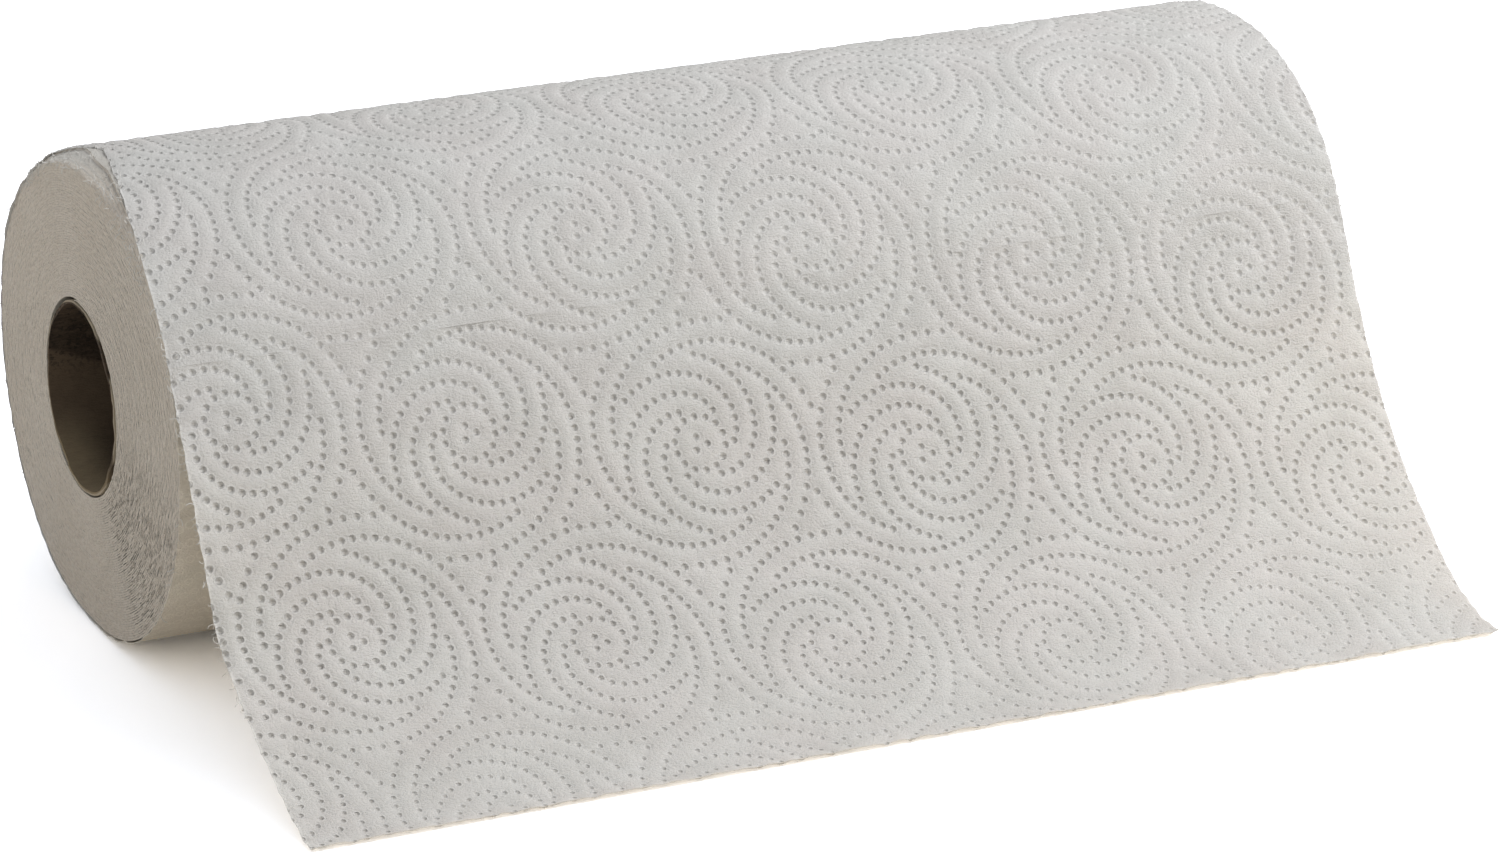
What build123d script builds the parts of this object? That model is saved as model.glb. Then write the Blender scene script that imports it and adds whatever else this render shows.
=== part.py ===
from build123d import *

import os
from math import cos, radians, sin, sqrt

# Roll of two-ply paper towel, lying on its side with the loose end of its web drawn forward.
# The web is one long strip: it is wound on a card tube, and its last stretch leaves the roll
# at the front, hangs free and touches down on the surface that the roll lies on.
# X runs along the roll, +Y points to the back and +Z is up. Lengths are in millimetres.
# The origin is the middle of the card tube's bore.

# Web
web_width = 279.4
sheet_thickness = 0.6

# Card tube
bore_diameter = 41.0
card_thickness = 0.8
winding_clearance = 0.05

# Wound roll, a little slack, so that it lies on a narrow flat spot
roll_height = 105.0
flat_spot = 7.0

# Turns showing on both ends, each groove standing for several real turns
turn_count = 12
turn_groove_depth = 0.7
turn_groove_width = 1.3
first_turn_gap = 1.8
last_turn_gap = 1.5

# Loose end of the web
leave_angle = 27.5
straight_length = 32.0
landing_angle = 15.0
slit_width = 0.3

# Sizes worked out from the ones above
bore_radius = bore_diameter / 2
tube_radius = bore_radius + card_thickness
paper_bore_radius = tube_radius + winding_clearance
roll_radius = roll_height / 2
half_flat = flat_spot / 2
web_end = web_width / 2

# Loose end: where it leaves the roll, its straight run, and the curl that lands on the surface
leave_turn = radians(leave_angle)
landing_turn = radians(90 - landing_angle)
middle_turn = (leave_turn + landing_turn) / 2
outward = Vector(-cos(leave_turn), sin(leave_turn))
along_web = Vector(-sin(leave_turn), -cos(leave_turn))
front_centre = Vector(-half_flat, 0)
leave_point = front_centre + outward * roll_radius
straight_end = leave_point + along_web * straight_length
curl_drop = straight_end.Y + roll_radius - sheet_thickness * sin(landing_turn)
curl_radius = curl_drop / (sin(landing_turn) - sin(leave_turn))
under_radius = curl_radius + sheet_thickness
curl_centre = straight_end + outward * curl_radius

# The slit between the loose end and the roll under it starts where it is wide enough to see
slit_run = sqrt(2 * roll_radius * slit_width)
slit_turn = leave_turn - slit_run / roll_radius
slit_web_side = leave_point - outward * sheet_thickness + along_web * slit_run
slit_roll_side = front_centre + Vector(-cos(slit_turn), sin(slit_turn)) * (roll_radius - sheet_thickness)


def on_curl(radius, turn):
    """Point on the curl at a radius about its centre and a turn away from straight down."""
    return curl_centre + Vector(cos(turn), -sin(turn)) * radius


# Turns: a two-centre spiral, round on the tube and as flat as the roll at its outside
first_turn = paper_bore_radius + first_turn_gap
last_turn = roll_radius - sheet_thickness - last_turn_gap
half_turns = 2 * turn_count
half_turn_step = (last_turn - first_turn) / half_turns


def turn_height(index):
    """Distance of the spiral above or below the bore's axis where a half turn starts."""
    return first_turn + index * half_turn_step


def turn_offset(index):
    """Distance of a half turn's centre to the front or back of the bore's axis."""
    return half_flat * index / half_turns


# Cutter for the turns on the left end: at each half turn a strip across, then half a ring
with BuildPart() as turn_grooves:
    for index in range(half_turns):
        side = 1 if index % 2 else -1
        height = turn_height(index)
        with BuildSketch(Plane.XZ.offset(-side * turn_offset(index))) as groove_profile:
            with BuildLine():
                Polyline(
                    (-web_end - turn_groove_depth, -side * (height - turn_groove_width)),
                    (-web_end - turn_groove_depth, -side * (height + turn_groove_width)),
                    (-web_end + turn_groove_depth, -side * height),
                    close=True,
                )
            make_face()
        revolve(
            axis=Axis((0, side * turn_offset(index), side * half_turn_step / 2), (1, 0, 0)),
            revolution_arc=180,
        )
        if index:
            extrude(groove_profile.sketch, amount=side * (turn_offset(index) + turn_offset(index - 1)))

# Wound roll and loose end, one web
with BuildPart() as paper_roll:
    with BuildSketch(Plane.YZ.offset(-web_end)) as web_section:
        with BuildLine():
            flat = Line((half_flat, -roll_radius), (-half_flat, -roll_radius))
            TangentArc(flat @ 1, slit_roll_side, tangent=flat % 1)
            Line(slit_roll_side, slit_web_side)
            Line(slit_web_side, on_curl(under_radius, leave_turn))
            ThreePointArc(
                on_curl(under_radius, leave_turn),
                on_curl(under_radius, middle_turn),
                on_curl(under_radius, landing_turn),
            )
            Line(on_curl(under_radius, landing_turn), on_curl(curl_radius, landing_turn))
            ThreePointArc(
                on_curl(curl_radius, landing_turn),
                on_curl(curl_radius, middle_turn),
                straight_end,
            )
            Line(straight_end, leave_point)
            front_top = CenterArc(front_centre, roll_radius, 180 - leave_angle, leave_angle - 90)
            Line(front_top @ 1, (half_flat, roll_radius))
            CenterArc((half_flat, 0), roll_radius, 90, -180)
        make_face()
        Circle(paper_bore_radius, mode=Mode.SUBTRACT)
    extrude(amount=web_width)
    add(turn_grooves.part, mode=Mode.SUBTRACT)
    mirror(turn_grooves.part, about=Plane.YZ, mode=Mode.SUBTRACT)

# Card tube that the web is wound on
with BuildPart() as core_tube:
    with BuildSketch(Plane.YZ.offset(-web_end)):
        Circle(tube_radius)
        Circle(bore_radius, mode=Mode.SUBTRACT)
    extrude(amount=web_width)

paper_roll.part.label = "paper_roll"
core_tube.part.label = "core_tube"

os.makedirs("parts", exist_ok=True)
for piece in (paper_roll.part, core_tube.part):
    export_step(piece, f"parts/{piece.label}.step")
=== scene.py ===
from math import ceil, cos, exp, hypot, pi, radians, sin, sqrt

import bmesh
import bpy
import numpy as np
from mathutils import Matrix, Vector, kdtree
from mathutils.geometry import delaunay_2d_cdt


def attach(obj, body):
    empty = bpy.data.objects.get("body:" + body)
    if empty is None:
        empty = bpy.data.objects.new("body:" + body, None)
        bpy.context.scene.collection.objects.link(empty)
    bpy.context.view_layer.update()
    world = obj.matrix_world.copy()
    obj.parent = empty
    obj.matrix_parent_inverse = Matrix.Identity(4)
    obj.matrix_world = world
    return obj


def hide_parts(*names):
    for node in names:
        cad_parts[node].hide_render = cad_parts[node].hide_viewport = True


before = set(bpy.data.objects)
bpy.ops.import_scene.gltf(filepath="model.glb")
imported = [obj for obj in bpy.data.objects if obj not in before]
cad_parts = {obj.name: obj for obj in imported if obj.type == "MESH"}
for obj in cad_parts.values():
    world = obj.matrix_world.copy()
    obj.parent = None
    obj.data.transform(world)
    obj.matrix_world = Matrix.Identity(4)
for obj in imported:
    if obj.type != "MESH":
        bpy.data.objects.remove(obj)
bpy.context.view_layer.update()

# Sizes shared with the part's source, in metres. X runs along the roll, +Y to the back, +Z up.
MM = 0.001
web_width = 279.4 * MM
roll_radius = 52.5 * MM
half_flat = 3.5 * MM
bore_radius = 20.5 * MM
card_thickness = 0.8 * MM
leave_turn = radians(27.5)
half_width = web_width / 2

# The web as it is pressed and wound
web_thickness = 0.5 * MM
edge_thickness = 0.15 * MM
turn_pitch = 0.5 * MM
tear_length = 279.4 * MM
seed = 20


# Meshes and objects
def new_mesh(name, vertices, faces=()):
    mesh = bpy.data.meshes.new(name)
    mesh.from_pydata(vertices, [], faces)
    return mesh


def new_object(name, data):
    """Object in the scene that shows some data."""
    made = bpy.data.objects.new(name, data)
    bpy.context.scene.collection.objects.link(made)
    return made


def vertex_places(mesh):
    """Places of a mesh's vertices, as an array."""
    places = np.empty(len(mesh.vertices) * 3)
    mesh.vertices.foreach_get("co", places)
    return places.reshape(-1, 3)


def smooth_by_angle(mesh, degrees):
    """Shade smooth, with edges sharper than the angle kept sharp."""
    mesh.polygons.foreach_set("use_smooth", np.ones(len(mesh.polygons), bool))
    mesh.set_sharp_from_angle(angle=radians(degrees))
    mesh.update()


def point_outwards(mesh):
    """Recalculate the normals of a closed mesh."""
    shell = bmesh.new()
    shell.from_mesh(mesh)
    bmesh.ops.recalc_face_normals(shell, faces=shell.faces)
    shell.to_mesh(mesh)
    shell.free()


# Geometry Nodes and shader helpers
def set_inputs(tree, node, values):
    """Link the inputs whose value is a socket, and set the other ones."""
    for key, value in values.items():
        if isinstance(value, bpy.types.NodeSocket):
            tree.links.new(value, node.inputs[key])
        else:
            node.inputs[key].default_value = value


def add(tree, kind, values=None, **settings):
    """Add a node to a tree, with its settings and the values of its inputs."""
    node = tree.nodes.new(kind)
    for key, value in settings.items():
        setattr(node, key, value)
    set_inputs(tree, node, values or {})
    return node


class Sums:
    """Short ways to write a node tree's arithmetic."""

    def __init__(self, tree):
        self.tree = tree

    def __call__(self, operation, *values, clamp=False):
        node = add(self.tree, "ShaderNodeMath", dict(enumerate(values)), operation=operation, use_clamp=clamp)
        return node.outputs[0]

    def chain(self, operation, first, *others):
        for other in others:
            first = self(operation, first, other)
        return first

    def total(self, *values):
        return self.chain("ADD", *values)

    def minus(self, first, second):
        return self("SUBTRACT", first, second)

    def product(self, *values):
        return self.chain("MULTIPLY", *values)

    def vector(self, operation, *values):
        node = add(self.tree, "ShaderNodeVectorMath", dict(enumerate(values)), operation=operation)
        return node.outputs["Value" if operation == "LENGTH" else "Vector"]

    def scale(self, value, factor):
        node = add(self.tree, "ShaderNodeVectorMath", {0: value, "Scale": factor}, operation="SCALE")
        return node.outputs["Vector"]

    def join(self, x, y, z):
        return add(self.tree, "ShaderNodeCombineXYZ", {0: x, 1: y, 2: z}).outputs[0]

    def split(self, value):
        return add(self.tree, "ShaderNodeSeparateXYZ", {0: value}).outputs

    def noise(self, vector, scale, detail=2.0, roughness=0.5):
        values = {"Vector": vector, "Scale": scale, "Detail": detail, "Roughness": roughness}
        return add(self.tree, "ShaderNodeTexNoise", values).outputs[0]

    def ripple(self, vector, detail=2.0, roughness=0.5):
        """Noise that goes up and down about 0."""
        return self.minus(self.noise(vector, 1.0, detail, roughness), 0.5)

    def ramp(self, value, low, high, to_low=0.0, to_high=1.0, smooth=True):
        values = {"Value": value, "From Min": low, "From Max": high, "To Min": to_low, "To Max": to_high}
        kind = "SMOOTHSTEP" if smooth else "LINEAR"
        return add(self.tree, "ShaderNodeMapRange", values, interpolation_type=kind).outputs[0]

    def mix(self, factor, first, second, blend="MIX"):
        """Colour between two others."""
        values = {0: factor, 6: first, 7: second}
        return add(self.tree, "ShaderNodeMix", values, data_type="RGBA", blend_type=blend).outputs[2]


def new_tree(name, **inputs):
    """Geometry Nodes tree with named inputs, listed by kind. Gives the tree, its inputs and its sums."""
    tree = bpy.data.node_groups.new(name, "GeometryNodeTree")
    for kind, labels in inputs.items():
        for label in labels:
            tree.interface.new_socket(label, in_out="INPUT", socket_type="NodeSocket" + kind)
    tree.interface.new_socket("Geometry", in_out="OUTPUT", socket_type="NodeSocketGeometry")
    return tree, add(tree, "NodeGroupInput").outputs, Sums(tree)


def end_tree(tree, geometry, material=None):
    """Give the geometry, with its material, as the tree's result."""
    if material is not None:
        values = {"Geometry": geometry, "Material": material}
        geometry = add(tree, "GeometryNodeSetMaterial", values).outputs[0]
    add(tree, "NodeGroupOutput", {0: geometry})
    return tree


def put(tree, geometry, places):
    """Move a geometry's points to some places."""
    return add(tree, "GeometryNodeSetPosition", {"Geometry": geometry, "Position": places}).outputs[0]


def repeat_on(tree, points, shape, **values):
    """Real copies of a shape on points."""
    values.update({"Points": points, "Instance": shape})
    copies = add(tree, "GeometryNodeInstanceOnPoints", values).outputs[0]
    return add(tree, "GeometryNodeRealizeInstances", {0: copies}).outputs[0]


def grow(name, tree, inputs, source=None):
    """Run a Geometry Nodes tree on a mesh and return its result as a plain mesh object."""
    if source is None:
        source = bpy.data.meshes.new(name)
    seedling = new_object(name, source)
    modifier = seedling.modifiers.new("Grow", "NODES")
    modifier.node_group = tree
    for item in tree.interface.items_tree:
        if item.item_type == "SOCKET" and item.in_out == "INPUT" and item.name in inputs:
            modifier[item.identifier] = inputs[item.name]
    evaluated = seedling.evaluated_get(bpy.context.evaluated_depsgraph_get())
    mesh = bpy.data.meshes.new_from_object(evaluated)
    bpy.data.objects.remove(seedling)
    mesh.name = name
    return new_object(name, mesh)


# Path of the web's outer face, seen along X: points in (y, z), from inside the winding outwards
winding_end = pi - leave_turn
winding_start = winding_end - 2 * pi


def roll_point(turn, radius):
    """Point of the slightly slack roll at a turn from +Y, its halves set apart by the flats."""
    side = 1 if cos(turn) > 0 else -1
    return (radius * cos(turn) + side * half_flat, radius * sin(turn))


def winding(first_turn, last_turn, step=radians(1)):
    """Outer face of the last turn of the web. Its radius still grows until it reaches the flat below."""
    count = ceil((last_turn - first_turn) / step)
    path = []
    for index in range(count + 1):
        turn = first_turn + (last_turn - first_turn) * index / count
        grown = min(1, (turn - winding_start) / (-pi / 2 - winding_start))
        path.append(roll_point(turn, roll_radius - turn_pitch * (1 - grown)))
    return path


def hanging(straight, bend_radius, bend_heading, rest, last_heading, step=0.5 * MM):
    """Edge of the loose end: a straight run, a bend, and a slack rest that lands.
    Headings are turns away from straight down."""
    bend = bend_radius * (bend_heading - leave_turn)
    total = straight + bend + rest
    count = ceil(total / step)
    y, z = roll_point(winding_end, roll_radius)
    path = [(y, z)]
    for index in range(count):
        run = total * (index + 0.5) / count
        if run < straight:
            heading = leave_turn
        elif run < straight + bend:
            heading = leave_turn + (run - straight) / bend_radius
        else:
            heading = bend_heading + (last_heading - bend_heading) * (run - straight - bend) / rest
        y -= sin(heading) * total / count
        z -= cos(heading) * total / count
        path.append((y, z))
    return path


def path_length(path):
    """Length of a path."""
    return sum(hypot(b[0] - a[0], b[1] - a[1]) for a, b in zip(path, path[1:]))


def path_curve(name, path):
    """Curve object that follows a path in the plane across the roll."""
    data = bpy.data.curves.new(name, "CURVE")
    data.dimensions = "3D"
    spline = data.splines.new("POLY")
    spline.points.add(len(path) - 1)
    for point, (y, z) in zip(spline.points, path):
        point.co = (0, y, z, 1)
    return new_object(name, data)


left_hang = hanging(
    straight=51.8 * MM,
    bend_radius=23 * MM,
    bend_heading=radians(55.8),
    rest=50.8 * MM,
    last_heading=radians(71.8),
)
right_hang = hanging(
    straight=22.5 * MM,
    bend_radius=131 * MM,
    bend_heading=radians(54.3),
    rest=29.0 * MM,
    last_heading=radians(80.0),
)
loose_length = (path_length(left_hang) + path_length(right_hang)) / 2


# Pressed pattern: rosettes of dots on a six-sided lattice, as (x, run) on the flat web,
# where run is the way along the web from the line where it leaves the roll
rosette_spacing = 52.5 * MM
lattice_turn = radians(-10.9)
rosette_place = Vector((-25.4, 32.5)) * MM
arm_count = 6
arm_rise = 4.4 * MM
dot_radius = 0.75 * MM
dot_depth = 0.32 * MM
pillow_height = 0.27 * MM


def ring_of_dots(count, radius, first=0.0):
    return [(radius, first + 2 * pi * index / count) for index in range(count)]


def arm_of_dots(radius, turn, count, step, way):
    """Dots at even steps along a spiral arm that rises steadily from the rosette's middle."""
    dots = []
    for _ in range(count):
        dots.append((radius, turn))
        advance = step / hypot(radius, arm_rise)
        radius += arm_rise * advance
        turn += way * advance
    return dots, radius, turn


def rosette():
    """Dots of one rosette, in the lattice's own directions, with +Y up the web: three in the middle
    and a ring round them, and on each arm a row outwards, one back, a wide-set one and a last dot."""
    dots = ring_of_dots(3, 1.7 * MM, radians(3)) + ring_of_dots(14, 5.87 * MM)
    for arm in range(arm_count):
        start = 2 * pi * arm / arm_count
        outward, _, _ = arm_of_dots(7.92 * MM, start + radians(7.5), 16, 2.38 * MM, 1)
        back, radius, turn = arm_of_dots(19.5 * MM, start + radians(2.9), 13, 2.46 * MM, -1)
        wide, _, _ = arm_of_dots(radius + 0.05 * MM, turn - radians(1.6), 3, 3.12 * MM, -1)
        dots += outward + back + wide
        dots.append((28.25 * MM, start + radians(40.5)))
    return [(radius * cos(turn), radius * sin(turn)) for radius, turn in dots]


def rosette_field_tree():
    """Repeats a rosette's dots over a lattice."""
    tree, given, sums = new_tree(
        "Rosette field",
        Geometry=["Geometry"],
        Float=["Spacing", "Turn"],
        Vector=["Middle"],
        Int=["Reach"],
    )
    across = sums.minus(given["Reach"], 1.0)
    grid = add(
        tree,
        "GeometryNodeMeshGrid",
        {"Size X": across, "Size Y": across, "Vertices X": given["Reach"], "Vertices Y": given["Reach"]},
    )
    x, y, _ = sums.split(add(tree, "GeometryNodeInputPosition").outputs[0])
    x = sums("ROUND", x)
    y = sums("ROUND", y)
    sheared = sums.join(sums.total(x, sums.product(y, 0.5)), sums.product(y, sqrt(3) / 2), 0.0)
    turned = add(
        tree,
        "ShaderNodeVectorRotate",
        {"Vector": sums.scale(sheared, given["Spacing"]), "Angle": given["Turn"]},
        rotation_type="Z_AXIS",
    )
    place = sums.vector("ADD", turned.outputs[0], given["Middle"])
    lattice = put(tree, grid.outputs["Mesh"], place)
    spin = sums.join(0.0, 0.0, given["Turn"])
    return end_tree(tree, repeat_on(tree, lattice, given["Geometry"], Rotation=spin))


def pressed_dots():
    """Middles of all dots on the flat web, as an array of (x, run)."""
    mesh = new_mesh("rosette", [(x, y, 0) for x, y in rosette()])
    inputs = {
        "Spacing": rosette_spacing,
        "Turn": lattice_turn,
        "Middle": (rosette_place.x, -rosette_place.y, 0),
        "Reach": 19,
    }
    field = grow("dot_field", rosette_field_tree(), inputs, mesh)
    dots = vertex_places(field.data)[:, :2] * (1, -1)
    bpy.data.objects.remove(field)
    return dots


# Flat pieces of pressed web, each a closed mesh in (x, run, height). The rings of a dot are given by
# their share of its radius, their points and their share of its depth.
dot_rings = ((0.0, 1, -1.0), (0.5, 6, -0.6), (1.1, 8, 0.03))
pillow_reach = 1.5 * MM
fill_step = 2.15 * MM
fill_clearance = 0.62 * MM
hidden_step = (9 * MM, 3 * MM)
edge_step = 1.3 * MM
edge_margin = 0.25 * MM
cut_depth = 0.12 * MM

# The pressed pattern fades out on the part of the last turn that the loose end shelters, which is painted
# warmer and lighter there as painted light; the pattern comes back to its full depth over this stretch
sheltered_run = (-246 * MM, -226 * MM)

# Stretch of the loose end that lands, over which the dots get smaller
landing_run = (55 * MM, 112 * MM)


def rest_height(distance):
    """Height of the web away from the dots, puffed up between the rows."""
    share = np.clip((distance - dot_radius) / pillow_reach, 0, 1)
    return pillow_height * share * share * (3 - 2 * share)


def dot_finder(dots):
    """Function that gives the nearest dots to some points, as their indices and distances."""
    tree = kdtree.KDTree(len(dots))
    for index, dot in enumerate(dots):
        tree.insert((dot[0], dot[1], 0), index)
    tree.balance()

    def nearest(points):
        found = [tree.find((x, run, 0)) for x, run in points]
        return np.array([hit[1] for hit in found]), np.array([hit[2] for hit in found])

    return nearest


def inner_points(near, nearest, low, high, draw):
    """Points inside a pressed face, with their heights: round each dot and between the rows."""
    depth = dot_depth * draw.uniform(0.82, 1.12, len(near))
    depth *= np.interp(near[:, 1], sheltered_run, (0.0, 0.65)) + 0.35 * (near[:, 1] > 0)
    depth *= np.interp(near[:, 1], landing_run, (1.0, 0.6))
    spin = draw.uniform(0, 2 * pi, len(near))
    points = []
    heights = []
    for share, count, level in dot_rings:
        for index in range(count):
            angle = spin + 2 * pi * index / count
            ring = near + share * dot_radius * np.stack([np.cos(angle), np.sin(angle)], axis=1)
            points.append(ring)
            heights.append(depth * level)
    columns = int(web_width / fill_step)
    rows = int((high - low) / (fill_step * sqrt(3) / 2))
    column, row = np.meshgrid(np.arange(columns + 1), np.arange(rows + 1))
    between = np.stack([column + 0.5 * (row % 2), row * sqrt(3) / 2], axis=-1).reshape(-1, 2) * fill_step
    between += (-half_width, low)
    between += draw.uniform(-0.25, 0.25, between.shape) * fill_step
    _, away = nearest(between)
    keep = away > dot_radius + fill_clearance
    points.append(between[keep])
    heights.append(rest_height(away[keep]) * np.interp(between[keep, 1], sheltered_run, (0.0, 1.0)))
    points = np.concatenate(points)
    heights = np.concatenate(heights)
    inside = np.abs(points[:, 0]) < half_width - edge_margin
    inside &= (points[:, 1] > low + edge_margin) & (points[:, 1] < high - edge_margin)
    return points[inside], heights[inside]


def border_points(nearest, low, high, cuts, draw):
    """Points round the edges of a pressed face, with their heights. Where the web is torn, three in
    four of them are drawn in, and the others are the ends of what held it between the cuts."""
    across = np.linspace(-half_width, half_width, int(web_width / edge_step) + 1)
    along = np.linspace(low, high, int((high - low) / edge_step) + 1)
    border = [(x, low) for x in across[:-1]] + [(half_width, run) for run in along[:-1]]
    border += [(x, high) for x in across[:0:-1]] + [(-half_width, run) for run in along[:0:-1]]
    border = np.array(border)
    inwards = np.where(border[:, 1] == low, cuts[0], 0.0) - np.where(border[:, 1] == high, cuts[1], 0.0)
    _, away = nearest(border)
    heights = rest_height(away) - dot_depth * np.clip(1 - away / dot_radius, 0, 1)
    border[:, 1] += inwards * (np.arange(len(border)) % 4 != 0) * draw.uniform(0.6, 1.4, len(border))
    return border, heights


def mesh_flat(points, border_count):
    """Triangles between flat points, inside the border that the first ones make."""
    border = [list(range(border_count))]
    places = [Vector(point) for point in points]
    _, _, faces, origins, _, sources = delaunay_2d_cdt(places, [], border, 1, 1e-9, True)
    return [[origins[index][0] for index in face] for face, source in zip(faces, sources) if source]


def plain_points(border, low, high):
    """Coarse points for a face that lies hidden against the winding."""
    columns = int(web_width / hidden_step[0])
    rows = int((high - low) / hidden_step[1])
    x = np.linspace(-half_width, half_width, columns + 1)[1:-1]
    run = np.linspace(low, high, rows + 1)[1:-1]
    inner = np.stack(np.meshgrid(x, run), axis=-1).reshape(-1, 2)
    return np.concatenate([border, inner])


def store_dot_offsets(mesh, places, faces, back, near, nearest):
    """Offset of each face's corners from the dot nearest to the face, and 1 on the faces of the back."""
    corners = np.array([places[index] for polygon in faces for index in polygon])
    sizes = np.array([len(polygon) for polygon in faces])
    starts = np.concatenate([[0], np.cumsum(sizes)[:-1]])
    middles = np.add.reduceat(corners, starts, axis=0) / sizes[:, None]
    found, _ = nearest(middles)
    offsets = np.zeros((len(corners), 3))
    offsets[:, :2] = corners - near[np.repeat(found, sizes)]
    offsets[back, 2] = 1.0
    stored = mesh.attributes.new("dot", "FLOAT_VECTOR", "CORNER")
    stored.data.foreach_set("vector", offsets.ravel())


def flat_web(name, dots, low, high, cuts, backed, draw):
    """Closed piece of web, flat: its pressed face, its back and its cut edges.
    The cuts are the depths of the perforations left along its low and high edges. Its faces point
    inwards here, because laying it on its path turns them round."""
    near = dots[
        (np.abs(dots[:, 0]) < half_width + dot_radius)
        & (dots[:, 1] > low - dot_radius)
        & (dots[:, 1] < high + dot_radius)
    ]
    nearest = dot_finder(near)
    inner, inner_heights = inner_points(near, nearest, low, high, draw)
    border, border_heights = border_points(nearest, low, high, cuts, draw)
    border_count = len(border)
    points = np.concatenate([border, inner])
    heights = np.concatenate([border_heights, inner_heights])
    face = mesh_flat(points, border_count)
    if backed:
        back_points = points
        back_heights = heights
        back = face
    else:
        back_points = plain_points(border, low, high)
        back_heights = np.zeros(len(back_points))
        back_heights[:border_count] = border_heights
        back = mesh_flat(back_points, border_count)
    back_heights = back_heights - web_thickness
    back_heights[:border_count] += web_thickness - edge_thickness
    shift = len(points)
    faces = [list(reversed(triangle)) for triangle in face]
    faces += [[shift + index for index in triangle] for triangle in back]
    for index in range(border_count):
        after = (index + 1) % border_count
        faces.append([index, after, shift + after, shift + index])
    vertices = np.concatenate(
        [np.column_stack([points, heights]), np.column_stack([back_points, back_heights])]
    )
    mesh = new_mesh(name, vertices.tolist(), faces)
    mesh.update()
    back_corners = slice(3 * len(face), 3 * (len(face) + len(back)))
    store_dot_offsets(mesh, vertices[:, :2], faces, back_corners, near, nearest)
    return mesh


# Wear at the ends: the turns have come loose low at the front, and stand back in a shoulder at the left
loosened_turn = radians(-148)
drawn_turn = radians(76)
# Middle of the paler shoulder: crumbled fibres there, with painted light
crumbled_lit_turn = radians(66)
turns_inset = 8.0 * MM
web_inset = 8.3 * MM
inset_reach = 55 * MM
shoulder_power = 1.75


def wind_tree():
    """Lays a flat piece of web along a path, which may differ at its left and right edges."""
    shape = ["Low", "High", "Half width", "Sink", "Inset", "Inset middle", "Inset reach", "Rest"]
    tree, given, sums = new_tree(
        "Wind web",
        Geometry=["Geometry"],
        Object=["Left path", "Right path"],
        Float=shape + ["Ruffle", "Crinkle", "Fray"],
        Material=["Material"],
    )
    position = add(tree, "GeometryNodeInputPosition").outputs[0]
    flat = add(
        tree,
        "GeometryNodeStoreNamedAttribute",
        {"Geometry": given["Geometry"], "Name": "web", "Value": position},
        data_type="FLOAT_VECTOR",
        domain="POINT",
    )
    web = add(tree, "GeometryNodeInputNamedAttribute", {"Name": "web"}, data_type="FLOAT_VECTOR").outputs[0]
    x, run, height = sums.split(web)
    from_middle = sums("ABSOLUTE", x)
    half = given["Half width"]
    length = sums.minus(given["High"], given["Low"])
    factor = sums("DIVIDE", sums.minus(run, given["Low"]), length)
    ends = []
    for side in ("Left path", "Right path"):
        path = add(tree, "GeometryNodeObjectInfo", {"Object": given[side]})
        sample = add(
            tree,
            "GeometryNodeSampleCurve",
            {"Curves": path.outputs["Geometry"], "Factor": factor},
            mode="FACTOR",
        )
        ends.append((sample.outputs["Position"], sample.outputs["Tangent"]))
    share = sums.ramp(x, sums.product(half, -1.0), half, smooth=False)
    share = sums("POWER", share, 0.7)
    middle = []
    for left, right in zip(*ends):
        mix = add(tree, "ShaderNodeMix", {0: share, 4: left, 5: right}, data_type="VECTOR")
        middle.append(mix.outputs[1])
    outward = sums.vector("NORMALIZE", sums.vector("CROSS_PRODUCT", middle[1], (1.0, 0.0, 0.0)))

    # Soft ruffles and fine crinkles, strongest near the two cut edges
    wave = sums.ripple(sums.join(sums.product(x, 22.0), sums.product(run, 60.0), 0.0))
    near_edge, at_edge, on_edge = (
        sums.ramp(from_middle, sums.minus(half, reach), half) for reach in (20 * MM, 6 * MM, 2 * MM)
    )
    ruffle = sums.product(wave, sums.total(near_edge, 0.15), given["Ruffle"])
    crinkle = sums.ripple(sums.join(sums.product(x, 150.0), sums.product(run, 260.0), 4.0))
    calmer = sums.ramp(share, 0.2, 0.8, 1.0, 0.3)
    crinkle = sums.product(crinkle, at_edge, calmer, given["Crinkle"])
    ruffle = sums.total(ruffle, crinkle)
    sink = sums.product(given["Sink"], sums.total(1.0, sums.product(on_edge, 0.8)))
    lift = sums.minus(sums.total(height, ruffle), sink)

    # Left edge drawn in where the outer turns stand back from the end
    away = sums("ABSOLUTE", sums.minus(run, given["Inset middle"]))
    near = sums.ramp(away, 0.0, given["Inset reach"], 1.0, 0.0, smooth=False)
    shoulder = sums("POWER", near, shoulder_power)
    fall = sums("POWER", sums.minus(1.0, share), 4.0)
    rough_place = sums.join(sums.product(run, 900.0), sums("SIGN", x), 0.0)
    rough = sums.ripple(rough_place, 3.0, 0.6)
    wobble = sums.ripple(sums.join(sums.product(run, 170.0), 2.0, 0.0))
    inset = sums.product(shoulder, given["Inset"], sums.total(1.0, sums.product(wobble, 0.25)))
    frayed = sums.product(rough, on_edge, calmer, given["Fray"])
    drawn = sums.total(sums.product(inset, fall), frayed)
    along = sums.join(sums.total(x, drawn), 0.0, 0.0)

    # The loose end goes no lower than the surface that it rests on
    place = sums.vector("ADD", sums.vector("ADD", middle[0], along), sums.scale(outward, lift))
    place_x, place_y, place_z = sums.split(place)
    lowest = sums.total(given["Rest"], web_thickness, height)
    place = sums.join(place_x, place_y, sums("MAXIMUM", place_z, lowest))
    return end_tree(tree, put(tree, flat.outputs[0], place), given["Material"])


# Helical ply of the card tube
ply_pitch = 300 * MM
seam_place = radians(12) / (2 * pi) - half_width / ply_pitch


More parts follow.
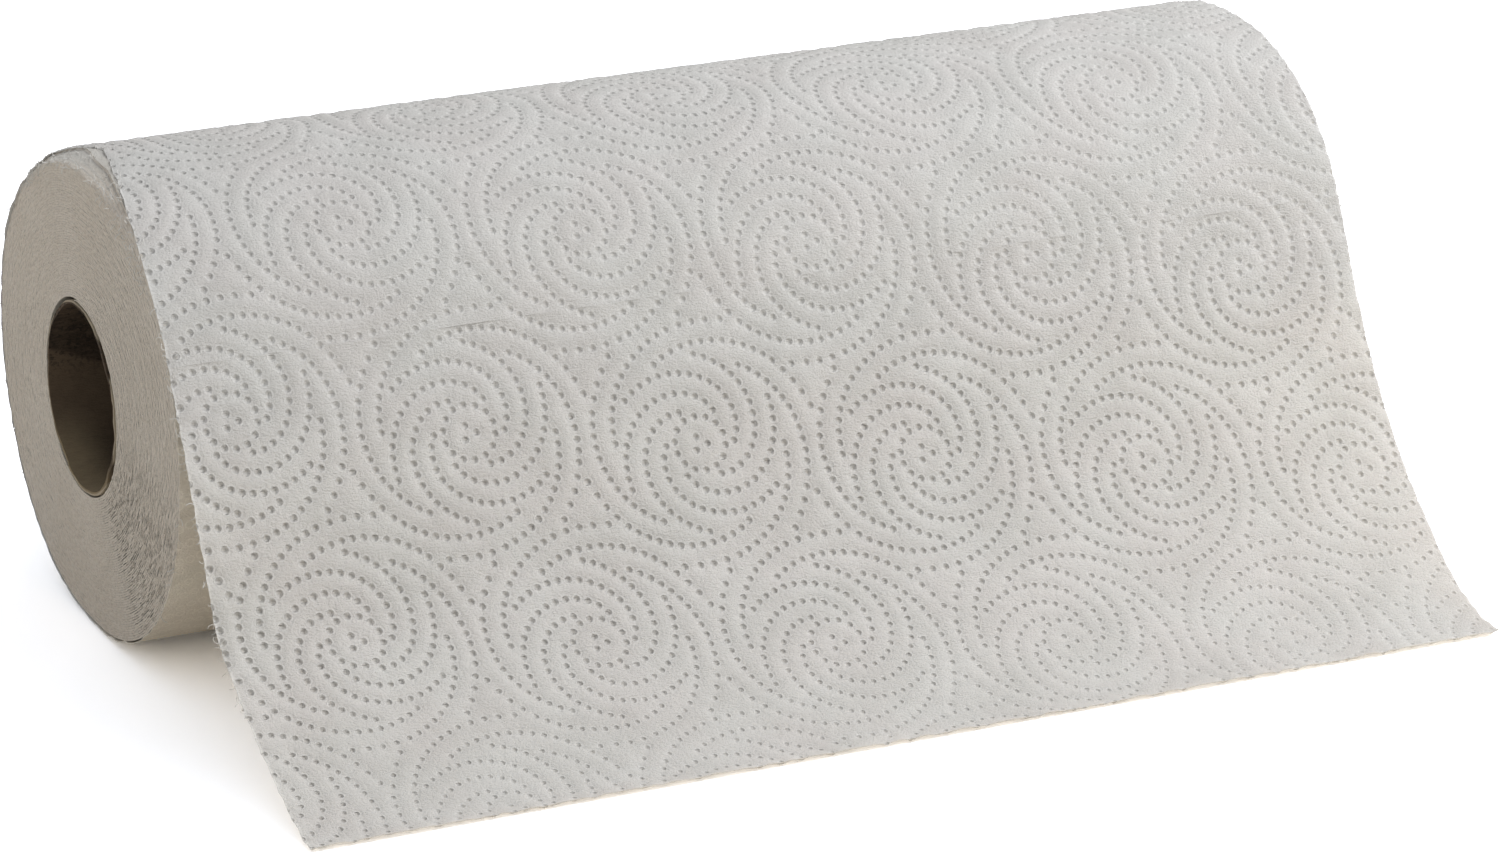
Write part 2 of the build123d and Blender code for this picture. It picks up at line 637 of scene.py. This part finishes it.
# Materials
def new_material(name, roughness, specular=0.5):
    """Material with a plain shader. Gives the material, its tree, its shader and its sums."""
    material = bpy.data.materials.new(name)
    material.use_nodes = True
    tree = material.node_tree
    shader = tree.nodes["Principled BSDF"]
    set_inputs(tree, shader, {"Roughness": roughness, "Specular IOR Level": specular})
    return material, tree, shader, Sums(tree)


def bump(tree, height, distance, normal=None):
    values = {"Height": height, "Strength": 1.0, "Distance": distance}
    if normal is not None:
        values["Normal"] = normal
    return add(tree, "ShaderNodeBump", values).outputs[0]


def tissue_material():
    """Creped two-ply tissue: fibre grain, faint clouding, painted shade inside the dots, a painted highlight
    round their rims, painted light on the cut edges, and sparse specks. Where the loose end shelters it, it
    is painted warmer and lighter as painted light, and it lets light through when thin."""
    material, tree, shader, sums = new_material("tissue", 0.92, 0.2)
    web = add(tree, "ShaderNodeAttribute", attribute_name="web").outputs["Vector"]
    x, run, _ = sums.split(web)
    flat = sums.vector("MULTIPLY", web, (1.0, 1.0, 0.0))
    cloud = sums.noise(flat, 60.0, 3.0)
    grain = sums.noise(sums.vector("MULTIPLY", flat, (1.0, 1.6, 1.0)), 1500.0, 4.0, 0.65)
    crepe = sums.noise(sums.vector("MULTIPLY", flat, (0.35, 1.5, 1.0)), 900.0, 2.0, 0.5)
    tint = sums.noise(sums.vector("ADD", flat, (3.0, 7.0, 0.0)), 45.0, 3.0)
    clouded = sums.ramp(cloud, 0.3, 0.7)
    colour = sums.mix(clouded, (0.688, 0.674, 0.656, 1), (0.752, 0.74, 0.724, 1))
    tinted = sums.ramp(tint, 0.35, 0.65)
    tint = sums.mix(tinted, (1.008, 0.996, 0.994, 1), (0.995, 1.002, 0.998, 1))
    colour = sums.mix(1.0, colour, tint, "MULTIPLY")
    colour = sums.mix(sums.ramp(grain, 0.35, 0.75, 0.0, 0.10), colour, (0.5, 0.485, 0.455, 1))
    offset = add(tree, "ShaderNodeAttribute", attribute_name="dot").outputs["Vector"]
    back = sums.split(offset)[2]
    away = sums.vector("LENGTH", sums.vector("MULTIPLY", offset, (1.0, 1.0, 0.0)))
    from_dot = sums("DIVIDE", away, dot_radius)
    from_dot = sums.product(from_dot, sums.ramp(run, *landing_run, 1.0, 1.4))
    wall = sums.ramp(from_dot, 0.1, 1.25)
    rim = sums.product(sums.ramp(from_dot, 0.8, 1.25), sums.ramp(from_dot, 1.25, 1.7, 1.0, 0.0))

    # The pattern stands out most on the loose end and at the left, less where the web is wound tight
    # or lands, and it fades out on the stretch that the loose end shelters
    thin = sums.ramp(run, 1 * MM, 30 * MM)
    # 1 on the stretch the loose end shelters, where the pattern fades and painted warm light is added
    sheltered_painted_light = sums.ramp(run, *sheltered_run, 1.0, 0.0)
    pressed = sums.total(sums.ramp(sheltered_painted_light, 1.0, 0.0, 0.0, 0.58), sums.product(thin, 0.47))
    pressed = sums.minus(pressed, sums.ramp(run, *landing_run, 0.0, 0.5))
    pressed = sums.total(pressed, sums.ramp(x, 40 * MM - half_width, -half_width, 0.0, 0.25))
    pressed = sums.minus(pressed, sums.ramp(x, 0.0, half_width, 0.0, 0.2))
    pressed = sums.product(pressed, sums.minus(1.0, sheltered_painted_light))
    # Painted shade in the dimple of each dot
    painted_dot_shade = sums.product(sums.ramp(from_dot, 0.0, 0.85, 0.32, 0.0), pressed)
    colour = sums.mix(painted_dot_shade, colour, (0.33, 0.31, 0.26, 1))
    # Painted highlight: a paler ring round each dot's rim
    colour = sums.mix(sums.product(rim, 0.4), colour, (0.90, 0.895, 0.88, 1))
    # Painted light along both cut edges, whose faces turn away from the key light, kept off the sheltered
    # stretch
    painted_edge_light = sums.ramp(sums("ABSOLUTE", x), half_width - 0.7 * MM, half_width, 0.0, 0.7)
    painted_edge_light = sums.product(painted_edge_light, sums.minus(1.0, sheltered_painted_light))
    colour = sums.mix(painted_edge_light, colour, (0.93, 0.92, 0.90, 1))
    speck = add(tree, "ShaderNodeTexVoronoi", {"Vector": flat, "Scale": 95.0, "Randomness": 1.0})
    dark = sums("LESS_THAN", speck.outputs["Distance"], 0.022)
    chance = sums("GREATER_THAN", sums.split(speck.outputs["Color"])[0], 0.93)
    colour = sums.mix(sums.product(dark, chance, 0.75), colour, (0.14, 0.11, 0.09, 1))
    rib = sums.product(sums.ramp(from_dot, 1.2, 2.8), 0.15)
    pattern = sums.total(wall, sums.product(rim, 0.12), rib)
    relief = bump(tree, sums.product(pattern, pressed), 0.6 * MM)
    relief = bump(tree, crepe, 0.15 * MM, relief)
    relief = bump(tree, grain, 0.5 * MM, relief)

    # The loose end is thin enough to let some light through, and the paper that it shelters is painted warmer
    # and lighter: painted light, as from the floor and through the loose end
    colour = sums.mix(sheltered_painted_light, colour, (1.28, 1.21, 1.09, 1), "MULTIPLY")
    through = sums.product(thin, sums.total(0.2, sums.product(back, 0.4)))
    lighter = sums.mix(thin, colour, (1.22, 1.22, 1.22, 1), "MULTIPLY")
    sheen = {"Sheen Weight": 0.08, "Sheen Roughness": 0.6}
    set_inputs(tree, shader, {"Base Color": lighter, "Normal": relief, **sheen})
    glow = add(tree, "ShaderNodeBsdfTranslucent", {"Color": (0.96, 0.915, 0.84, 1), "Normal": relief})
    both = add(tree, "ShaderNodeMixShader", {0: through, 1: shader.outputs[0], 2: glow.outputs[0]})
    set_inputs(tree, tree.nodes["Material Output"], {"Surface": both.outputs[0]})
    return material


def cut_edge_material():
    """Stacked cut edges of the turns: fibrous speckle, short dark dashes along the turns as painted shade in
    the gaps between them, painted shade in the slits where the turns have come loose, and paler on the
    shoulder where the fibres crumble, partly as painted light. Their warmer tone is painted warm light too."""
    material, tree, shader, sums = new_material("cut_edges", 0.95, 0.15)
    position = add(tree, "ShaderNodeTexCoord").outputs["Object"]
    x, y, z = sums.split(position)
    radius = sums("SQRT", sums.total(sums.product(y, y), sums.product(z, z)))
    turn = sums("ARCTAN2", z, y)
    facing = sums("COSINE", sums.minus(turn, loosened_turn))
    rough = sums.product(sums.ramp(facing, 0.86, 0.99), sums.ramp(radius, 21 * MM, 27 * MM))
    # Paler on the shoulder: partly crumbled fibres, partly painted light on a cut face that the key light
    # misses
    crumbled_and_lit = sums.ramp(sums("COSINE", sums.minus(turn, crumbled_lit_turn)), 0.88, 0.97)
    crumbled_and_lit = sums.product(crumbled_and_lit, sums.ramp(radius, 50 * MM, 51.4 * MM))
    fine = sums.product(radius, 2300.0)
    dash_place = sums.join(fine, sums.product(turn, 32.0), sums.product(x, 200.0))
    dashes = sums.noise(dash_place, 1.0, 3.0, 0.6)
    broad = sums.product(radius, 800.0)
    rings = sums.noise(sums.join(broad, sums.product(turn, 5.0), 3.0), 1.0, 2.0, 0.6)
    fuzz = sums.noise(position, 1300.0, 4.0, 0.7)
    clouded = sums.ramp(sums.noise(position, 55.0, 3.0), 0.3, 0.7)
    # Warmer than the sheet: painted warm light, as from the floor and through the paper
    colour = sums.mix(clouded, (0.93, 0.845, 0.745, 1), (0.97, 0.89, 0.795, 1))
    # Painted shade in the fine gaps between the turns (the dashes) and in the slits where the turns have come
    # loose
    darker = sums.total(sums.ramp(dashes, 0.40, 0.72, 0.0, 0.30), sums.ramp(rings, 0.4, 0.7, 0.0, 0.07))
    slit_place = sums.join(sums.product(radius, 1000.0), sums.product(turn, 10.0), 7.0)
    split = sums.ramp(sums.noise(slit_place, 1.0, 2.0), 0.55, 0.64)
    opened = sums.total(rough, sums.product(crumbled_and_lit, 0.2), 0.08)
    split = sums.product(split, opened)
    darker = sums.total(darker, sums.product(split, 0.3))
    colour = sums.mix(darker, colour, (0.38, 0.305, 0.235, 1))
    colour = sums.mix(sums.ramp(fuzz, 0.42, 0.66, 0.0, 0.4), colour, (0.98, 0.94, 0.88, 1))
    normal = add(tree, "ShaderNodeNewGeometry").outputs["Normal"]
    cut = sums.ramp(sums("ABSOLUTE", sums.split(normal)[0]), 0.15, 0.6)
    # Painted light and fuzz make the shoulder paler, on its cut face and on its sides
    colour = sums.mix(sums.product(crumbled_and_lit, 0.45), colour, (0.96, 0.93, 0.88, 1))
    side = sums.mix(crumbled_and_lit, (0.64, 0.61, 0.56, 1), (0.70, 0.68, 0.64, 1))
    colour = sums.mix(cut, side, colour)
    relief = bump(tree, sums.minus(dashes, sums.product(split, 0.8)), 0.45 * MM)
    relief = bump(tree, fuzz, 0.8 * MM, relief)
    set_inputs(tree, shader, {"Base Color": colour, "Normal": relief})
    return material


def lint_material():
    """Loose fibres at the cut edges."""
    material, tree, shader, sums = new_material("lint", 0.9)
    position = add(tree, "ShaderNodeTexCoord").outputs["Object"]
    patch = sums.noise(position, 200.0)
    colour = sums.mix(patch, (0.80, 0.78, 0.74, 1), (0.93, 0.92, 0.90, 1))
    set_inputs(tree, shader, {"Base Color": colour})
    return material


def card_material():
    """Brown spiral-wound board: fibres, mottled flecks, a helical band paler before the seam and darker past
    it, and a pale cut rim. Low in the mouth it is painted paler too: painted light, where light reaches it."""
    material, tree, shader, sums = new_material("core_board", 0.85, 0.25)
    position = add(tree, "ShaderNodeTexCoord").outputs["Object"]
    x, y, z = sums.split(position)
    radius = sums("SQRT", sums.total(sums.product(y, y), sums.product(z, z)))
    fibre = sums.noise(sums.vector("MULTIPLY", position, (1.0, 3.0, 3.0)), 350.0, 5.0, 0.65)
    fleck = sums.noise(position, 900.0, 2.0, 0.6)
    blotch = sums.noise(position, 70.0, 3.0, 0.6)
    helix = sums.total(sums("DIVIDE", sums("ARCTAN2", z, y), 2 * pi), sums("DIVIDE", x, ply_pitch))
    ply = sums("FRACT", sums.minus(helix, seam_place))
    # A helical band, paler before the seam and darker just past it
    pale_band = sums.product(sums.ramp(ply, 0.82, 0.97), sums.ramp(ply, 1.0, 0.99, 0.0, 1.0))
    dark_band = sums.ramp(ply, 0.0, 0.1, 1.0, 0.0)
    # Painted light: paler low in the mouth, where light comes in
    mouth = sums.ramp(sums.minus(half_width, sums("ABSOLUTE", x)), 0.5 * MM, 12 * MM, 1.0, 0.0)
    mouth = sums.product(mouth, sums.ramp(z, -18 * MM, -6 * MM, 1.0, 0.0))
    blotched = sums.ramp(blotch, 0.35, 0.65)
    colour = sums.mix(blotched, (0.048, 0.033, 0.022, 1), (0.085, 0.058, 0.038, 1))
    colour = sums.mix(sums.product(mouth, 0.75), colour, (0.36, 0.285, 0.18, 1))
    colour = sums.mix(sums.product(pale_band, 0.55), colour, (0.18, 0.132, 0.086, 1))
    colour = sums.mix(sums.product(dark_band, 0.6), colour, (0.032, 0.023, 0.016, 1))
    colour = sums.mix(sums.ramp(fibre, 0.4, 0.7, 0.0, 0.3), colour, (0.17, 0.125, 0.085, 1))
    flecked = sums.product(sums.ramp(fleck, 0.52, 0.62, 0.0, 0.8), sums.ramp(z, -6 * MM, 6 * MM))
    colour = sums.mix(flecked, colour, (0.022, 0.016, 0.012, 1))
    rim = sums.ramp(radius, bore_radius + 0.15 * MM, bore_radius + 0.4 * MM)
    colour = sums.mix(sums.product(rim, 0.8), colour, (0.50, 0.43, 0.33, 1))
    set_inputs(tree, shader, {"Base Color": colour, "Normal": bump(tree, fibre, 0.3 * MM)})
    return material


tissue = tissue_material()
cut_edges = cut_edge_material()
lint = lint_material()
core_board = card_material()


# Wound turns below the last one: one strip of web on a spiral, with real slits between its turns
section_points = 7
tube_clearance = 0.1 * MM
end_bow = 1.6 * MM
least_slit = 0.005 * MM
crown_height = 0.02 * MM
merge_distance = 0.001 * MM


def wound_tree():
    """Winds a strip, whose rows go round its section, from the tube to the last turn but one."""
    shape = ["Row step", "First radius", "Last radius", "Pitch", "First turn", "Half flat", "Half width"]
    tree, given, sums = new_tree(
        "Wind turns",
        Int=["Rows"],
        Float=shape + ["Bow", "Slit", "Ragged", "Inset"],
        Material=["Material"],
    )
    grid = add(tree, "GeometryNodeMeshGrid", {"Vertices X": given["Rows"], "Vertices Y": section_points})
    index = add(tree, "GeometryNodeInputIndex").outputs[0]
    row = sums("FLOOR", sums("DIVIDE", sums.total(index, 0.5), section_points))
    column = sums("ROUND", sums("FLOORED_MODULO", index, section_points))

    # Place along the strip gives its radius and turn
    run = sums.product(row, given["Row step"])
    grown = sums("DIVIDE", sums.product(run, given["Pitch"]), pi)
    radius = sums("SQRT", sums.total(sums.product(given["First radius"], given["First radius"]), grown))
    turned = sums("DIVIDE", sums.minus(radius, given["First radius"]), given["Pitch"])
    turn = sums.total(sums.product(turned, 2 * pi), given["First turn"])
    progress = sums.ramp(radius, given["First radius"], given["Last radius"], smooth=False)

    # Column gives the end, the depth through the paper and the crown of its edge, 1 halfway through it
    depth = sums.minus(2.5, sums("ABSOLUTE", sums.minus(column, 2.5)))
    depth = sums("MULTIPLY", depth, 0.5, clamp=True)
    crown = sums.minus(1.0, sums("ABSOLUTE", sums.minus(sums.product(depth, 2.0), 1.0)))
    right = sums("LESS_THAN", sums("ABSOLUTE", sums.minus(column, 4.0)), 1.5)
    side = sums.minus(sums.product(right, 2.0), 1.0)
    from_start = sums("MINIMUM", row, sums.minus(sums.minus(given["Rows"], 1.0), row))
    taper = sums.ramp(from_start, 0.0, 3.0)

    # Slits open at random, nearly all of them low at the front, where the turns have come loose
    slit_place = sums.join(sums.product(run, 420.0), sums.product(side, 7.3), 0.0)
    burst = sums.ramp(sums.noise(slit_place, 1.0, 1.0), 0.50, 0.66)
    facing = sums("COSINE", sums.minus(turn, loosened_turn))
    loosened = sums.ramp(facing, 0.80, 0.98)
    band = sums.product(sums.ramp(progress, 0.0, 0.12), sums.ramp(progress, 1.0, 0.92))
    open_share = sums.total(sums.product(loosened, band, 0.75), 0.04)
    slit = sums.total(sums.product(burst, open_share, given["Slit"]), least_slit)
    thick = sums.product(sums.minus(given["Pitch"], slit), depth, taper)

    # Ends: a bow from tube to rim, rings that stand proud, ragged edges and the left end's shoulder
    ring_place = sums.join(sums.product(radius, 800.0), sums.product(side, 5.0), sums("SINE", turn))
    ring = sums.ripple(ring_place)
    rag_place = sums.join(sums.product(run, 420.0), sums.product(side, 3.1), 9.0)
    rag = sums.ripple(rag_place, 3.0, 0.6)
    rag = sums.product(rag, sums.total(1.0, sums.product(loosened, 0.4)))
    proud = sums.product(sums.total(sums.product(ring, 0.3), rag), given["Ragged"])
    proud = sums.total(proud, sums.product(crown, taper, crown_height))
    bow = sums.product(sums("POWER", sums.minus(1.0, progress), 1.2), given["Bow"])
    from_top = sums("ARCCOSINE", sums("COSINE", sums.minus(turn, drawn_turn)))
    top = sums("POWER", sums.ramp(from_top, 0.0, radians(60), 1.0, 0.0, smooth=False), shoulder_power)
    sloped = sums.ramp(sums.total(radius, thick), given["First radius"], given["Last radius"], smooth=False)
    rim = sums("POWER", sums.ramp(sloped, 0.94, 1.01, smooth=False), 1.4)
    inset = sums.product(top, rim, given["Inset"], sums.minus(1.0, right))
    inset = sums.product(inset, sums.total(1.0, sums.product(rag, 0.4)))
    x = sums.product(sums.total(given["Half width"], proud), side)
    x = sums.total(sums.minus(x, bow), inset)

    reach = sums.total(radius, thick)
    across = sums.product(sums("SIGN", sums("COSINE", turn)), given["Half flat"], progress)
    y = sums.total(sums.product(reach, sums("COSINE", turn)), across)
    z = sums.product(reach, sums("SINE", turn))
    placed = put(tree, grid.outputs["Mesh"], sums.join(x, y, z))
    values = {"Geometry": placed, "Distance": merge_distance}
    merged = add(tree, "GeometryNodeMergeByDistance", values)
    return end_tree(tree, merged.outputs[0], given["Material"])


def wound_turns():
    """The turns as one piece, from the tube to just under the outer turn."""
    first_radius = bore_radius + card_thickness + tube_clearance
    last_radius = roll_radius - turn_pitch - web_thickness
    turns = (last_radius - first_radius) / turn_pitch
    length = pi * (last_radius**2 - first_radius**2) / turn_pitch
    row_step = 0.95 * MM
    inputs = {
        "Rows": int(length / row_step) + 1,
        "Row step": row_step,
        "First radius": first_radius,
        "Last radius": last_radius,
        "Pitch": turn_pitch,
        "First turn": winding_start - 2 * pi * turns,
        "Half flat": half_flat,
        "Half width": half_width - 0.2 * MM,
        "Bow": end_bow,
        "Slit": 0.34 * MM,
        "Ragged": 0.5 * MM,
        "Inset": turns_inset,
        "Material": cut_edges,
    }
    made = grow("wound_turns", wound_tree(), inputs)
    point_outwards(made.data)
    smooth_by_angle(made.data, 50)
    return made


# Outer turn and loose end, in three lengths of the one web. Only the loose end rests on the surface.
far_below = -1.0


def outer_web():
    """Makes the three lengths, which meet at the tear line and where the web leaves the roll."""
    draw = np.random.default_rng(seed)
    dots = pressed_dots()
    tree = wind_tree()
    tear_run = loose_length - tear_length
    tear_turn = winding_end + tear_run / roll_radius
    over_path = winding(tear_turn, winding_end)
    under_path = winding(winding_start, tear_turn)
    over_low = -path_length(over_path)
    under_low = over_low - path_length(under_path)
    lengths = (
        ("outer_turn_under", under_low, over_low, (0, cut_depth), under_path, under_path, 0.1 * MM),
        ("outer_turn_over", over_low, 0.0, (cut_depth, 0), over_path, over_path, 0.3 * MM),
        ("loose_end", 0.0, loose_length, (0, cut_depth), left_hang, right_hang, 1.3 * MM),
    )
    made = []
    for name, low, high, cuts, left, right, crinkle in lengths:
        backed = left is not right
        curves = [path_curve(name + "_left", left), path_curve(name + "_right", right)]
        inputs = {
            "Left path": curves[0],
            "Right path": curves[1],
            "Low": low,
            "High": high,
            "Half width": half_width,
            "Sink": pillow_height,
            "Inset": web_inset,
            "Inset middle": (drawn_turn - winding_end) * roll_radius,
            "Inset reach": inset_reach,
            "Ruffle": 1.2 * MM if backed else 0.2 * MM,
            "Crinkle": crinkle,
            "Fray": 0.2 * MM + 0.9 * crinkle,
            "Rest": -roll_radius + 1.15 * dot_depth if backed else far_below,
            "Material": tissue,
        }
        piece = grow(name, tree, inputs, flat_web(name + "_flat", dots, low, high, cuts, backed, draw))
        for curve in curves:
            bpy.data.objects.remove(curve)
        smooth_by_angle(piece.data, 62)
        made.append(piece)
    return made


# Card tube, wound from a helical ply, with dents pushed into its mouths: their turns in degrees and
# their depths in millimetres
tube_kinks = ((137, 1.1), (176, 0.1), (213, 0.9), (262, 0.2), (307, 1.0), (3, 0.6), (50, 0.8), (92, 0.3))


def core_tube():
    """Rings round a section that goes along the bore and back along the outside, with frayed ends."""
    around = 120
    along = 60
    mouth_depth = 14 * MM
    kink_reach = radians(24)
    seam_depth = 0.12 * MM
    end_share = 0.01
    outer_radius = bore_radius + card_thickness
    draw = np.random.default_rng(seed + 1)
    frayed = np.convolve(draw.uniform(-1, 1, around + 8), np.ones(3) / 3, "same")[:around] * 0.25 * MM
    angles = 2 * pi * np.arange(around) / around
    kinks = sum(
        depth * MM * np.clip(1 - np.arccos(np.cos(angles - radians(place))) / kink_reach, 0, 1)
        for place, depth in tube_kinks
    )
    vertices = []
    rings = []
    profile = [(True, bore_radius, share) for share in np.linspace(0, 1, along)]
    profile += [(False, bore_radius + card_thickness * share, 1) for share in (0.3, 0.7)]
    profile += [(False, outer_radius, 1 - share) for share in np.linspace(0, 1, 12)]
    profile += [(False, bore_radius + card_thickness * share, 0) for share in (0.7, 0.3)]
    for in_bore, radius, share in profile:
        ring = []
        for index in range(around):
            angle = 2 * pi * index / around
            x = -half_width - end_bow + web_width * share
            end = max(0, 1 - min(share, 1 - share) / end_share)
            x += (frayed[index] if share < 0.5 else -frayed[index]) * end * (0.6 if in_bore else 1)
            helix = (angle / (2 * pi) + x / ply_pitch - seam_place + 0.5) % 1 - 0.5
            groove = seam_depth * max(0, 1 - abs(helix) * 60) if in_bore else 0
            squashed = exp(-share * web_width / mouth_depth) + exp(-(1 - share) * web_width / mouth_depth)
            r = radius + groove - kinks[index] * squashed
            ring.append(len(vertices))
            vertices.append((x, r * cos(angle), r * sin(angle)))
        rings.append(ring)
    faces = []
    for index, ring in enumerate(rings):
        after = rings[(index + 1) % len(rings)]
        for step in range(around):
            turn = (step + 1) % around
            faces.append((ring[step], ring[turn], after[turn], after[step]))
    mesh = new_mesh("card_tube", vertices, faces)
    mesh.materials.append(core_board)
    point_outwards(mesh)
    smooth_by_angle(mesh, 45)
    return new_object("card_tube", mesh)


# Lint: loose fibres that stand out from the cut edges
def fibre_tree():
    """One bent fibre, repeated on points in random directions and sizes."""
    tree, given, _ = new_tree(
        "Fibres",
        Geometry=["Geometry"],
        Int=["Seed"],
        Float=["Smallest", "Largest", "Slenderness"],
        Material=["Material"],
    )
    arc = add(tree, "GeometryNodeCurveArc", {"Resolution": 6, "Radius": 1.0, "Sweep Angle": radians(110)})
    values = {"Geometry": arc.outputs["Curve"], "Translation": (-1.0, 0.0, 0.0)}
    start = add(tree, "GeometryNodeTransform", values)
    section = add(tree, "GeometryNodeCurvePrimitiveCircle", {"Resolution": 3, "Radius": given["Slenderness"]})
    fibre = add(
        tree,
        "GeometryNodeCurveToMesh",
        {"Curve": start.outputs[0], "Profile Curve": section.outputs["Curve"], "Fill Caps": True},
    )
    facing = add(
        tree,
        "FunctionNodeRandomValue",
        {"Min": (0.0, 0.0, 0.0), "Max": (2 * pi, 2 * pi, 2 * pi), "Seed": given["Seed"]},
        data_type="FLOAT_VECTOR",
    )
    size = add(
        tree,
        "FunctionNodeRandomValue",
        {2: given["Smallest"], 3: given["Largest"], "Seed": given["Seed"]},
        data_type="FLOAT",
    )
    values = {"Rotation": facing.outputs[0], "Scale": size.outputs[1]}
    fibres = repeat_on(tree, given["Geometry"], fibre.outputs[0], **values)
    return end_tree(tree, fibres, given["Material"])


def edge_points(piece):
    """Vertices on the two cut edges of a piece of web, clear of the surface that it rests on."""
    places = vertex_places(piece.data)
    web = np.empty(places.size)
    piece.data.attributes["web"].data.foreach_get("vector", web)
    on_edge = np.abs(web.reshape(-1, 3)[:, 0]) > half_width - 0.01 * MM
    return places[on_edge & (places[:, 2] > 15 * MM - roll_radius)]


def shoulder_points(piece):
    """Vertices at the outside of the turns, high on their left half."""
    places = vertex_places(piece.data)
    x, y, z = places.T
    return places[(x < 0) & (np.hypot(y, z) > roll_radius - 3 * MM) & (z > 36 * MM)]


def lint_fibres(turns, shoulder_count, pieces):
    """Fibres on the shoulder of the turns and on the edges of some pieces, given with their counts."""
    draw = np.random.default_rng(seed + 2)
    chosen = [draw.permutation(shoulder_points(turns))[:shoulder_count]]
    for piece, count in pieces:
        chosen.append(draw.permutation(edge_points(piece))[:count])
    mesh = new_mesh("lint_places", np.concatenate(chosen).tolist())
    inputs = {
        "Seed": seed,
        "Smallest": 0.4 * MM,
        "Largest": 1.2 * MM,
        "Slenderness": 0.08,
        "Material": lint,
    }
    made = grow("lint", fibre_tree(), inputs, mesh)
    point_outwards(made.data)
    smooth_by_angle(made.data, 130)
    return made


turns = wound_turns()
under, over, loose = outer_web()
tube = core_tube()
fibres = lint_fibres(turns, 420, ((over, 330), (loose, 380), (under, 60)))
for piece in (turns, under, over, loose, fibres):
    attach(piece, "root")
    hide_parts("paper_roll")
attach(tube, "root")
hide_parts("core_tube")


# Floor, lights and camera
def floor():
    """Floor that the camera sees as white but for the shadow, and that throws warm light on the roll."""
    half_size = 6.0
    height = -roll_radius - 0.3 * MM
    corners = [(x * half_size, y * half_size, height) for x, y in ((-1, -1), (1, -1), (1, 1), (-1, 1))]
    mesh = new_mesh("floor", corners, [(0, 1, 2, 3)])
    material, tree, shader, sums = new_material("pale_floor", 1.0, 0.0)
    ray = add(tree, "ShaderNodeLightPath").outputs["Is Camera Ray"]
    colour = sums.mix(ray, (0.98, 0.93, 0.84, 1), (2.55, 2.6, 2.72, 1))
    set_inputs(tree, shader, {"Base Color": colour})
    mesh.materials.append(material)
    new_object("floor", mesh)


def white_world(level):
    """World that is white to the camera and lights the roll at a lower level."""
    world = bpy.data.worlds.new("studio")
    bpy.context.scene.world = world
    world.use_nodes = True
    tree = world.node_tree
    tree.nodes.clear()
    path = add(tree, "ShaderNodeLightPath").outputs
    sums = Sums(tree)
    seen = sums.chain("MAXIMUM", path["Is Camera Ray"], path["Is Glossy Ray"], path["Is Transmission Ray"])
    soft = add(tree, "ShaderNodeBackground", {"Color": (0.98, 0.99, 1.0, 1), "Strength": level})
    white = add(tree, "ShaderNodeBackground", {"Color": (1, 1, 1, 1), "Strength": 1.0})
    mix = add(tree, "ShaderNodeMixShader", {0: seen, 1: soft.outputs[0], 2: white.outputs[0]})
    add(tree, "ShaderNodeOutputWorld", {0: mix.outputs[0]})


def lamp(name, place, target, size, power):
    """Round area light that faces a target."""
    data = bpy.data.lights.new(name, "AREA")
    data.shape = "DISK"
    data.size = size
    data.energy = power
    made = new_object(name, data)
    made.location = place
    made.rotation_euler = (Vector(target) - Vector(place)).to_track_quat("-Z", "Y").to_euler()


def camera():
    """Camera fitted to the roll's outline. Its focal length is in pixels of a picture 1500 wide."""
    focal_length = 6218.66
    picture_width = 1500
    data = bpy.data.cameras.new("camera")
    data.sensor_width = 36.0
    data.lens = data.sensor_width * focal_length / picture_width
    data.clip_start = 0.05
    data.clip_end = 50
    yaw, pitch, roll = radians(26.147), radians(21.474), radians(1.190)
    forward = Vector((sin(yaw) * cos(pitch), cos(yaw) * cos(pitch), -sin(pitch)))
    level = Vector((cos(yaw), -sin(yaw), 0))
    upright = level.cross(forward)
    right = level * cos(roll) + upright * sin(roll)
    up = upright * cos(roll) - level * sin(roll)
    place = Matrix((right, up, -forward)).transposed().to_4x4()
    place.translation = Vector((-558.655, -1175.363, 483.817)) * MM
    made = new_object("camera", data)
    made.matrix_world = place
    bpy.context.scene.camera = made


floor()
white_world(0.48)
lamp("key", place=(0.85, -0.3, 0.95), target=(0, -0.02, 0), size=0.7, power=12.2)
camera()
bpy.context.scene.view_settings.view_transform = "Standard"
